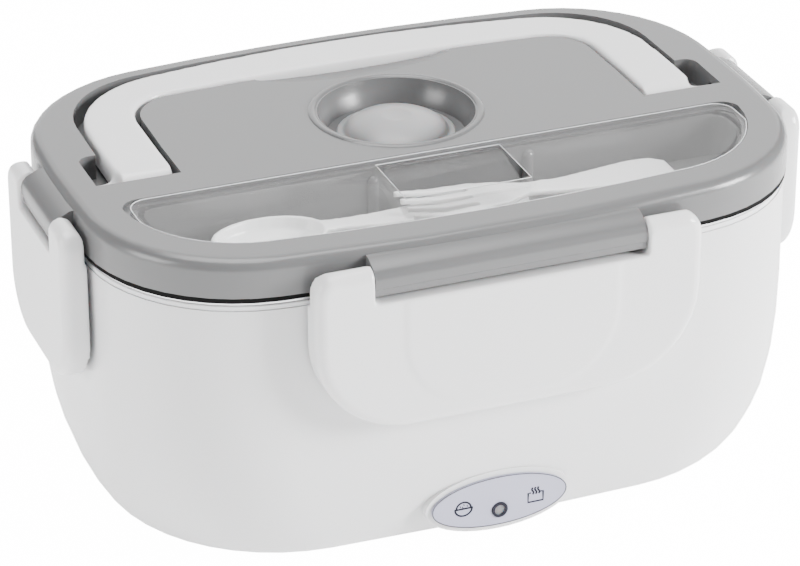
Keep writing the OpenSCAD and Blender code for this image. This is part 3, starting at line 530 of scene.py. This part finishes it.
def joined(name, pieces):
    """Several strokes as one piece."""
    lone(pieces[0])
    for piece in pieces[1:]:
        piece.select_set(True)
    bpy.ops.object.join()
    pieces[0].name = name
    return pieces[0]


def bowl_mark(x, z, line, front):
    """A heaped bowl."""
    reach, depth, brim = 2.8 * MM, 2.5 * MM, 0.3 * MM
    heap_reach, heap_height, heap_foot = reach * 0.86, 2.2 * MM, 0.1 * MM
    grain_half, grain_tilt = 0.15, 0.1
    paths = [
        oval_path(x, z, reach, depth, 180, 360, 20),
        [(x - reach - brim, z), (x + reach + brim, z)],
        oval_path(x, z + heap_foot, heap_reach, heap_height, 0, 180, 16)]
    for dx, dz in ((-1.1, 0.8), (0.1, 1.3), (1.2, 0.8), (-0.3, 0.5)):
        paths.append([(x + (dx - grain_half) * MM, z + dz * MM),
                      (x + (dx + grain_half) * MM, z + (dz + grain_tilt) * MM)])
    return joined("bowl_mark", [ink_stroke("stroke", path, line, front) for path in paths])


def steam_mark(x, z, line, front):
    """A box that steams."""
    wide, high, gap, brim = 2.5 * MM, 2.4 * MM, 1.6 * MM, 0.8 * MM
    sway, rise, steps = 0.3, 0.3, 9
    paths = [
        [(x - gap, z + brim), (x - wide, z + brim), (x - wide, z - high),
         (x + wide, z - high), (x + wide, z + brim), (x + gap, z + brim)]]
    for shift in (-1.0, 0, 1.0):
        paths.append([(x + (shift + sway * math.sin(i * math.pi / 4)) * MM, z + (0.2 + rise * i) * MM)
                      for i in range(steps)])
    return joined("steam_mark", [ink_stroke("stroke", path, line, front) for path in paths])


# Pieces of the lid that are shaped by themselves
def dipped_lid():
    """The grey lid with a dip for a finger in front of the handle's grip."""
    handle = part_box("carry_handle")[1]
    dip_back, handle_rise = 19.4 * MM, 0.6 * MM
    reach_x, reach_y = 34 * MM, 10.5 * MM
    top = merged_copy("lid_shell", "lid_top")
    combine(top, "DIFFERENCE", oval_body("dip", (0, handle.y - dip_back, handle.z - handle_rise),
                                         (reach_x, reach_y, sizes().finger_dip)))
    return round_edges(top, sizes().soft_edge)


def seal_with_shadow_band():
    """The lid's seal, widened past the tray's rim, with its outer lip hung over the rim. Its near-black face is
    painted shade: a black band that stands for the shadow in the gap under the lid.
    """
    low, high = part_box("lid_gasket")
    lip, flatter, lip_height = 2 * sizes().seal_shadow_lip, 0.84, 0.6 * MM
    seal = merged_copy("lid_gasket", "lid_seal_shadow_band")
    start_edit(seal, "VERT")
    bpy.ops.mesh.select_all(action="SELECT")
    bpy.ops.transform.resize(value=(1 + lip / (high.x - low.x), 1 + lip / (high.y - low.y), flatter),
                             center_override=(0, 0, low.z))
    mesh = bmesh.from_edit_mesh(seal.data)
    for vertex in mesh.verts:
        outward = vertex.normal.x * vertex.co.x + vertex.normal.y * vertex.co.y > 0
        if outward and vertex.co.z < low.z + lip_height:
            vertex.co.z -= sizes().seal_shadow_drop
    bmesh.update_edit_mesh(seal.data)
    end_edit()
    smooth(seal)
    return seal


def domed_plug():
    """The vent plug: a stem, a round flange and a dome with a thumb mark."""
    low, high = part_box("vent_plug")
    middle, radius = (low + high) / 2, high.x
    stem_length, flange_height, overlap = 4.4 * MM, 1.4 * MM, 0.5 * MM
    dome_share, dome_sink = 0.88, 0.4 * MM
    thumb_reach, thumb_depth, thumb_rise = 7 * MM, 1.3 * MM, 0.7 * MM
    foot = low.z + stem_length
    flange = foot + flange_height
    plug = upright_round("vent_stopper", middle, radius, foot, flange)
    combine(plug, "UNION", upright_round("stem", middle, sizes().stem_radius, low.z, foot + overlap))
    combine(plug, "UNION", oval_body("dome", (middle.x, middle.y, flange - dome_sink),
                                     (dome_share * radius, dome_share * radius, high.z - flange + dome_sink)))
    combine(plug, "DIFFERENCE", oval_body("thumb_mark", (middle.x, middle.y, high.z + thumb_rise),
                                          (thumb_reach, thumb_reach, thumb_depth)))
    return melted(plug, grain=0.45 * MM, rounds=5)


# One operator for each group of pieces
class LUNCHBOX_OT_stage(bpy.types.Operator):
    """Floor, soft lights and the camera at the photo's angle"""
    bl_idname = "lunchbox.stage"
    bl_label = "Stage"

    def execute(self, context):
        deselect()
        floor_size, floor_drop = 14, 0.1 * MM
        bpy.ops.mesh.primitive_plane_add(size=floor_size, location=(0, 0, -floor_drop))
        floor = context.object
        floor.name = "studio_floor"
        s = Shader("studio_floor_paint")
        cloud = s.noise(1.5, 2)
        base = s.mix(cloud, (0.95, 0.95, 0.95, 1), (0.97, 0.97, 0.97, 1))
        paint = s.surface({
            "Base Color": base, "Roughness": 0.7, "Emission Color": (1, 1, 1, 1), "Emission Strength": 1.0})
        glow = s.node("ShaderNodeEmission", {}, {"Color": (1, 1, 1, 1), "Strength": SEEN_WHITE})
        seen = s.node("ShaderNodeLightPath", {}, {}, out="Is Camera Ray")
        floor.data.materials.append(s.finish(s.node(
            "ShaderNodeMixShader", {}, {0: SEEN_SHARE * seen, 1: paint, 2: glow})))

        world = bpy.data.worlds.new("studio_world")
        world.use_nodes = True
        nodes, links = world.node_tree.nodes, world.node_tree.links
        lit, glow = nodes["Background"], nodes.new("ShaderNodeBackground")
        for shade, strength in ((lit, 0.16), (glow, SEEN_SHARE * SEEN_WHITE)):
            shade.inputs["Color"].default_value = (1, 1, 1, 1)
            shade.inputs["Strength"].default_value = strength
        both = nodes.new("ShaderNodeMixShader")
        links.new(nodes.new("ShaderNodeLightPath").outputs["Is Camera Ray"], both.inputs[0])
        links.new(lit.outputs[0], both.inputs[1])
        links.new(glow.outputs[0], both.inputs[2])
        links.new(both.outputs[0], nodes["World Output"].inputs["Surface"])
        context.scene.world = world

        middle = Vector((0, 0, 0.06))
        for name, place, size, power in (
                ("left_softbox", (-1.6, -0.2, 0.6), 0.8, 22),
                ("right_softbox", (1.4, -1.0, 0.7), 0.7, 96),
                ("back_softbox", (0.5, 1.7, 1.1), 2.2, 40),
                ("top_softbox", (-0.1, 0.1, 1.7), 1.2, 44)):
            bpy.ops.object.light_add(type="AREA", location=place)
            light = context.object
            light.name = name
            light.data.shape = "SQUARE"
            light.data.size = size
            light.data.energy = power
            light.rotation_euler = (middle - Vector(place)).to_track_quat("-Z", "Y").to_euler()

        tilt, turn = math.radians(62.63), math.radians(-21.45)
        bpy.ops.object.camera_add(location=(-0.3793, -0.9574, 0.5841), rotation=(tilt, 0, turn))
        camera = context.object
        camera.name = "photo_camera"
        camera.data.lens = 163.3
        camera.data.sensor_width = 36
        context.scene.camera = camera
        return {"FINISHED"}


class LUNCHBOX_OT_housing(bpy.types.Operator):
    """White housing with its base, feet and inlet"""
    bl_idname = "lunchbox.housing"
    bl_label = "Housing"

    def execute(self, context):
        place_on(softened("outer_housing", "housing_wall", width=sizes().soft_edge, segments=3),
                 "housing", "white", "white_shell", "outer_housing")
        dress("base_cover", "white")
        dress("rubber_feet", "rubber")
        dress("base_screws", "screw")
        dress("inlet_socket", "dark")
        dress("inlet_pins", "brass")
        return {"FINISHED"}


class LUNCHBOX_OT_heater(bpy.types.Operator):
    """Liner, heater and wiring inside the housing"""
    bl_idname = "lunchbox.heater"
    bl_label = "Heater"

    def execute(self, context):
        place_on(softened("inner_liner", "liner_tub", width=0.3 * MM, segments=2),
                 "housing", "liner", "liner_plastic", "inner_liner")
        dress("heating_plate", "aluminium")
        dress("heater_block", "dark")
        dress("heater_clamp", "screw")
        dress("clamp_screws", "screw")
        dress("thermal_cutout", "dark")
        dress("wiring", "lead")
        return {"FINISHED"}


class LUNCHBOX_OT_indicator(bpy.types.Operator):
    """Oval plate with its ring, lamp and pictograms"""
    bl_idname = "lunchbox.indicator"
    bl_label = "Indicator"

    def execute(self, context):
        dress("indicator_plate", "plate")
        dress("indicator_bezel", "bezel")
        dress("indicator_lens", "lens")
        dress("indicator_board", "board")

        low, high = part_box("indicator_plate")
        middle, half, front = (low + high) / 2, (high - low) / 2, low.y
        line = sizes().ink_line
        rim_line, ring_line = line / 2, line * 1.5
        mark_out, mark_drop = 12 * MM, 0.4 * MM
        rim_path = oval_path(middle.x, middle.z, half.x - rim_line / 2, half.z - rim_line / 2, 0, 360, 64)
        place_on(ink_stroke("plate_rim", rim_path, rim_line, front), "housing", "rim_ink", "dark_plastic")
        ring_low, ring_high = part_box("indicator_bezel")
        lamp, reach = (ring_low + ring_high) / 2, (ring_high.x - ring_low.x - ring_line) / 2
        ring_path = oval_path(lamp.x, lamp.z, reach, reach, 0, 360, 48)
        place_on(ink_stroke("lamp_ring", ring_path, ring_line, ring_low.y), "housing", "ink", "dark_plastic")
        for mark, side in ((bowl_mark, -1), (steam_mark, 1)):
            place_on(mark(middle.x + side * mark_out, middle.z - mark_drop, line, front),
                     "housing", "ink", "dark_plastic")
        return {"FINISHED"}


class LUNCHBOX_OT_tray(bpy.types.Operator):
    """Steel tray and the side cup"""
    bl_idname = "lunchbox.tray"
    bl_label = "Tray and cup"

    def execute(self, context):
        place_on(softened("steel_tray", "tray_bowl", width=0.2 * MM, segments=2),
                 "food_tray", "steel", "tray_steel", "steel_tray")
        place_on(softened("side_cup", "side_dish_cup", width=0.5 * MM, segments=3),
                 "cup", "liner", "liner_plastic", "side_cup")
        return {"FINISHED"}


class LUNCHBOX_OT_lid(bpy.types.Operator):
    """Grey lid with its liner, seal and vent plug"""
    bl_idname = "lunchbox.lid"
    bl_label = "Lid"

    def execute(self, context):
        place_on(dipped_lid(), "lid", "grey", "grey_lid", "lid_shell")
        place_on(softened("lid_liner", "lid_inner_skin", width=0.3 * MM, segments=2),
                 "lid", "liner", "liner_plastic", "lid_liner")
        # The seal's near-black face is painted shade for the gap under the lid
        place_on(seal_with_shadow_band(), "lid", "seal", "dark_seal", "lid_gasket")
        place_on(domed_plug(), "plug", "frosted", "seal_rubber", "vent_plug")
        return {"FINISHED"}


class LUNCHBOX_OT_handle(bpy.types.Operator):
    """Folding carrying handle"""
    bl_idname = "lunchbox.handle"
    bl_label = "Handle"

    def execute(self, context):
        grip = merged_copy("carry_handle", "folding_handle")
        place_on(melted(grip, grain=0.8 * MM, rounds=24, inset=sizes().handle_inset),
                 "handle", "white", "white_shell", "carry_handle")
        return {"FINISHED"}


class LUNCHBOX_OT_cutlery(bpy.types.Operator):
    """Spoon, fork and their clear cover"""
    bl_idname = "lunchbox.cutlery"
    bl_label = "Cutlery"

    def execute(self, context):
        for tool in ("spoon", "fork"):
            place_on(melted(merged_copy(tool, tool + "_body"), grain=0.5 * MM, rounds=3),
                     tool, "cutlery", "white_cutlery", tool)
        place_on(softened("cutlery_cover", "clear_cover", width=0.25 * MM, segments=2),
                 "bay_cover", "clear", "clear_plastic", "cutlery_cover")
        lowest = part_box("cutlery_cover")[1].z - 0.3 * MM
        # Opaque light rods along the cover's sharp edges are painted highlights, drawn as bright lines
        place_on(edge_lines("cutlery_cover", "cover_edge_highlight", lowest, radius=0.16 * MM),
                 "bay_cover", "painted_edge_highlight", "clear_plastic")
        return {"FINISHED"}


class LUNCHBOX_OT_latches(bpy.types.Operator):
    """Four snap latches"""
    bl_idname = "lunchbox.latches"
    bl_label = "Latches"

    def execute(self, context):
        for side in ("front", "right", "back", "left"):
            node = side + "_latch"
            piece = merged_copy(node, side + "_snap")
            if side == "back":
                shaved(piece, Vector((0, math.sin(EAR_SLOPE), math.cos(EAR_SLOPE))), sizes().back_ear_flat)
            place_on(melted(piece, grain=0.7 * MM, rounds=5), "latch_" + side, "white", "white_shell", node)
        return {"FINISHED"}


class LUNCHBOX_PT_panel(bpy.types.Panel):
    """Lists the steps that make the lunch box"""
    bl_idname = "LUNCHBOX_PT_panel"
    bl_label = "Heated lunch box"
    bl_space_type = "VIEW_3D"
    bl_region_type = "UI"
    bl_category = "Lunch box"

    def draw(self, context):
        for step in STEPS:
            self.layout.operator(step.bl_idname)


STEPS = (LUNCHBOX_OT_stage, LUNCHBOX_OT_housing, LUNCHBOX_OT_heater, LUNCHBOX_OT_indicator, LUNCHBOX_OT_tray,
         LUNCHBOX_OT_lid, LUNCHBOX_OT_handle, LUNCHBOX_OT_cutlery, LUNCHBOX_OT_latches)
CLASSES = (LunchBoxSizes, LunchBoxColours, *STEPS, LUNCHBOX_PT_panel)


def register():
    """Registers the classes and hangs the sizes and colours on the scene."""
    for c in CLASSES:
        bpy.utils.register_class(c)
    bpy.types.Scene.lunch_box_sizes = PointerProperty(type=LunchBoxSizes)
    bpy.types.Scene.lunch_box_colours = PointerProperty(type=LunchBoxColours)


def unregister():
    """Takes them off again."""
    del bpy.types.Scene.lunch_box_colours
    del bpy.types.Scene.lunch_box_sizes
    for c in reversed(CLASSES):
        bpy.utils.unregister_class(c)


def main():
    """Makes the whole lunch box, step by step."""
    register()
    bpy.ops.lunchbox.stage()
    bpy.ops.lunchbox.housing()
    bpy.ops.lunchbox.heater()
    bpy.ops.lunchbox.indicator()
    bpy.ops.lunchbox.tray()
    bpy.ops.lunchbox.lid()
    bpy.ops.lunchbox.handle()
    bpy.ops.lunchbox.cutlery()
    bpy.ops.lunchbox.latches()


if __name__ == "__main__":
    main()
